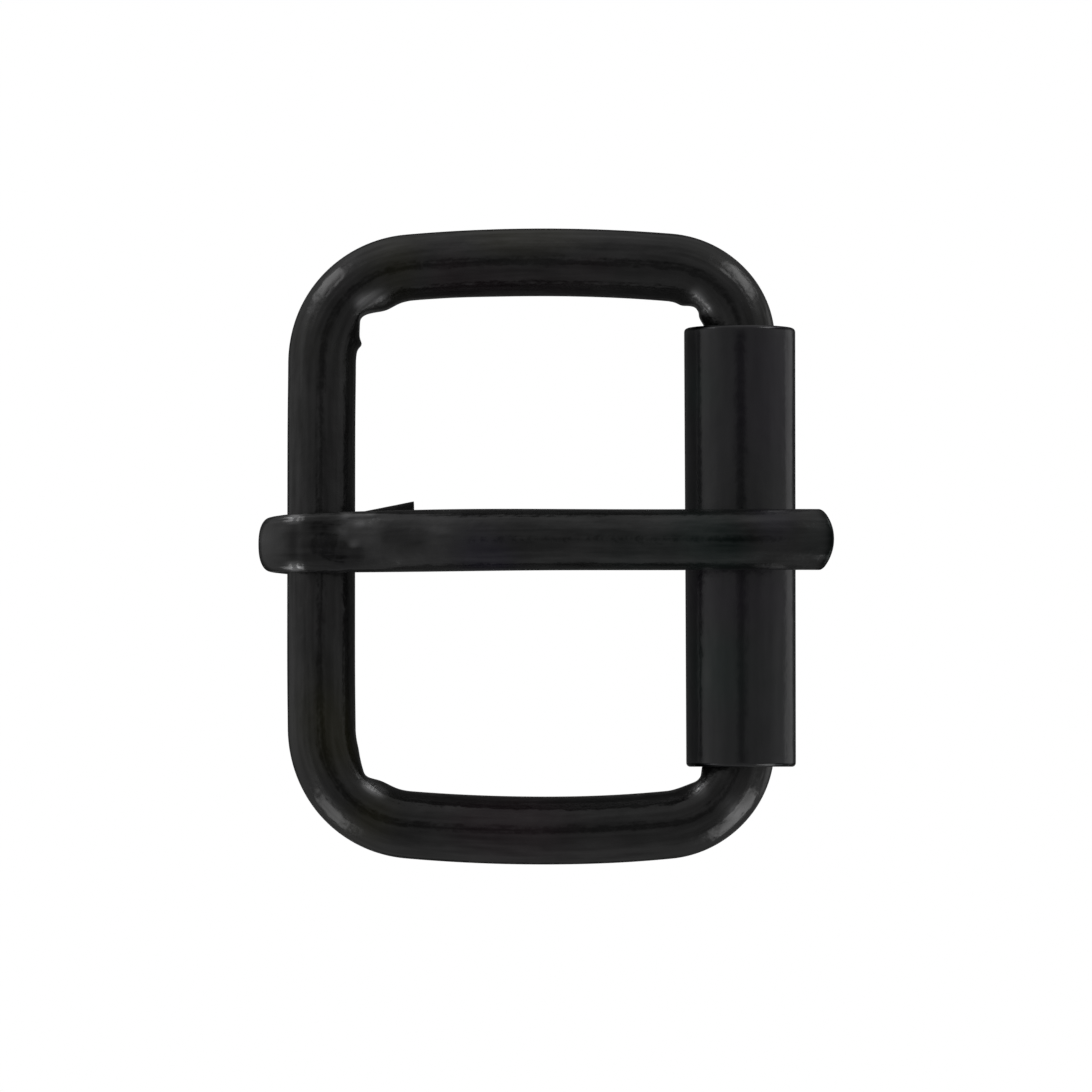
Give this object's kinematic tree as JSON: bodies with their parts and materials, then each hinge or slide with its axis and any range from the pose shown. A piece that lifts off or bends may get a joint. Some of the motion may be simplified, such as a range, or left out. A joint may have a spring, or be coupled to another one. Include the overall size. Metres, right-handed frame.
{
  "type": "belt buckle",
  "caption": "Roller buckle for a belt: a rounded rectangular wire frame with a heel bar, a rolled sheet roller on the far bar, and a wire tongue curled round the heel bar.",
  "frame": {"origin": "middle of the heel bar, on its axis", "axes": "+X from the heel bar to the roller, +Y along the heel bar, +Z out of the face that shows when the belt is worn"},
  "size_m": [0.0435, 0.0486, 0.0136],
  "materials": {
    "frame": "satin black coating on steel wire",
    "roller": "satin black coating on rolled sheet steel",
    "tongue": "satin black coating on steel wire"
  },
  "bodies": {
    "frame": {"frame": "frame"},
    "roller": {"roller": "roller"},
    "tongue": {"tongue": "tongue"}
  },
  "joints": [
    {"name": "roller_spin", "type": "hinge", "parent": "frame", "child": "roller", "pos_m": [0.032, 0, 0], "axis": [0, 1, 0], "continuous": true},
    {"name": "tongue_swing", "type": "hinge", "parent": "frame", "child": "tongue", "pos_m": [0, 0.0001, 0], "axis": [0, -1, 0], "range_deg": [0, 335]}
  ]
}
